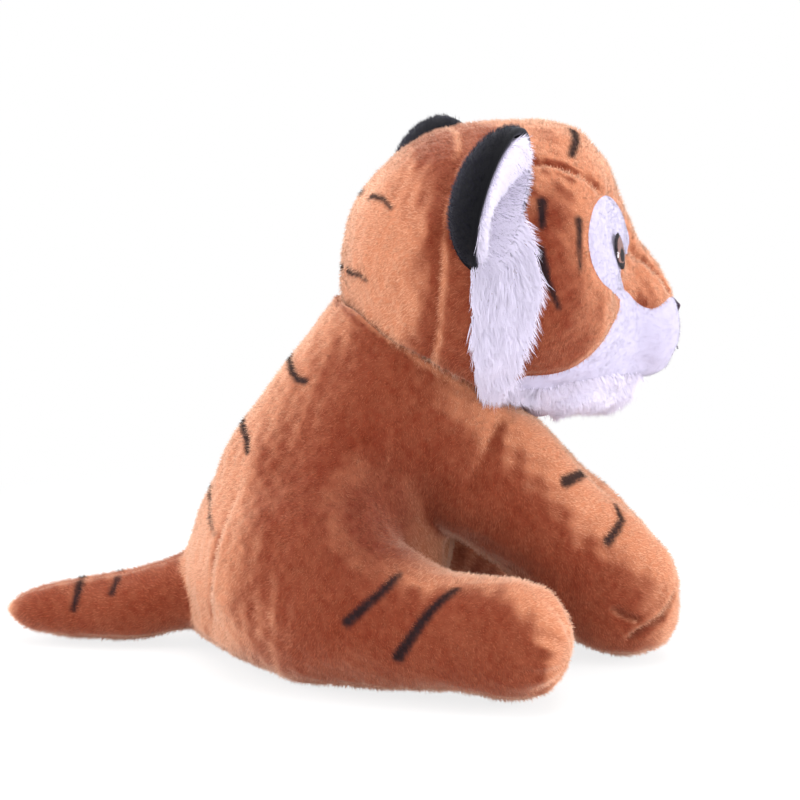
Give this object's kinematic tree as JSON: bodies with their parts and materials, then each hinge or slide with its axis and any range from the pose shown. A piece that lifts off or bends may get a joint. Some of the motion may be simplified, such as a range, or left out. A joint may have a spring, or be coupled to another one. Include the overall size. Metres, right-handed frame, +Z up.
{
  "type": "plush tiger",
  "caption": "Sitting plush tiger with striped orange pile, white muzzle and ruffs, black-backed ears, fibre filling and a weighted seat.",
  "frame": {"origin": "middle of the flat seat panel, on the floor", "axes": "+Z up, -Y the way the body faces, +X the toy's own left"},
  "size_m": [0.1698, 0.2509, 0.1931],
  "materials": {
    "orange_plush": "short knitted pile",
    "white_plush": "short knitted pile",
    "long_white_pile": "long brushed pile",
    "black_plush": "short knitted pile",
    "fibre_fill": "loose polyester fibre",
    "bag_cloth": "plain woven bag",
    "embroidery_thread": "satin stitch",
    "nose_thread": "satin stitch"
  },
  "bodies": {
    "torso": {"torso_right_panel": "orange_plush", "torso_left_panel": "orange_plush", "torso_belly_panel": "orange_plush", "torso_seat_panel": "orange_plush", "torso_stuffing": "fibre_fill", "seat_pellet_bag": "bag_cloth"},
    "head": {"head_back_panel": "orange_plush", "head_crown_panel": "orange_plush", "right_cheek_panel": "orange_plush", "left_cheek_panel": "orange_plush", "right_nose_side_panel": "orange_plush", "left_nose_side_panel": "orange_plush", "muzzle_panel": "white_plush", "right_eye_patch": "white_plush", "left_eye_patch": "white_plush", "right_ear_lining": "white_plush", "left_ear_lining": "white_plush", "chin_beard": "long_white_pile", "right_ruff": "long_white_pile", "left_ruff": "long_white_pile", "right_ear_back": "black_plush", "left_ear_back": "black_plush", "head_stuffing": "fibre_fill", "right_eye": "embroidery_thread", "left_eye": "embroidery_thread", "mouth_stitching": "embroidery_thread", "nose": "nose_thread"},
    "tail": {"tail_cover": "orange_plush", "tail_stuffing": "fibre_fill"},
    "right_foreleg": {"right_foreleg_cover": "orange_plush", "right_foreleg_stuffing": "fibre_fill"},
    "left_foreleg": {"left_foreleg_cover": "orange_plush", "left_foreleg_stuffing": "fibre_fill"},
    "right_hind_leg": {"right_hind_leg_cover": "orange_plush", "right_hind_leg_stuffing": "fibre_fill"},
    "left_hind_leg": {"left_hind_leg_cover": "orange_plush", "left_hind_leg_stuffing": "fibre_fill"}
  },
  "joints": [
    {"name": "head_turn", "type": "hinge", "parent": "torso", "child": "head", "pos_m": [0, -0.047, 0.112], "axis": [0, -0.4787, 0.878], "range_deg": [-25, 25], "stiffness_Nm_per_rad": 0.15},
    {"name": "right_foreleg_lift", "type": "hinge", "parent": "torso", "child": "right_foreleg", "pos_m": [-0.021, -0.074, 0.086], "axis": [-1, 0, 0], "range_deg": [0, 12], "stiffness_Nm_per_rad": 0.05},
    {"name": "right_hind_leg_lift", "type": "hinge", "parent": "torso", "child": "right_hind_leg", "pos_m": [-0.045, -0.006, 0.034], "axis": [-1, 0, 0], "range_deg": [0, 20], "stiffness_Nm_per_rad": 0.05},
    {"name": "left_foreleg_lift", "type": "hinge", "parent": "torso", "child": "left_foreleg", "pos_m": [0.021, -0.074, 0.086], "axis": [-1, 0, 0], "range_deg": [0, 12], "stiffness_Nm_per_rad": 0.05},
    {"name": "left_hind_leg_lift", "type": "hinge", "parent": "torso", "child": "left_hind_leg", "pos_m": [0.045, -0.006, 0.034], "axis": [-1, 0, 0], "range_deg": [0, 20], "stiffness_Nm_per_rad": 0.05},
    {"name": "tail_swing", "type": "hinge", "parent": "torso", "child": "tail", "pos_m": [0, 0.0433, 0.019], "axis": [0, 0, 1], "range_deg": [-18, 18], "stiffness_Nm_per_rad": 0.01}
  ]
}
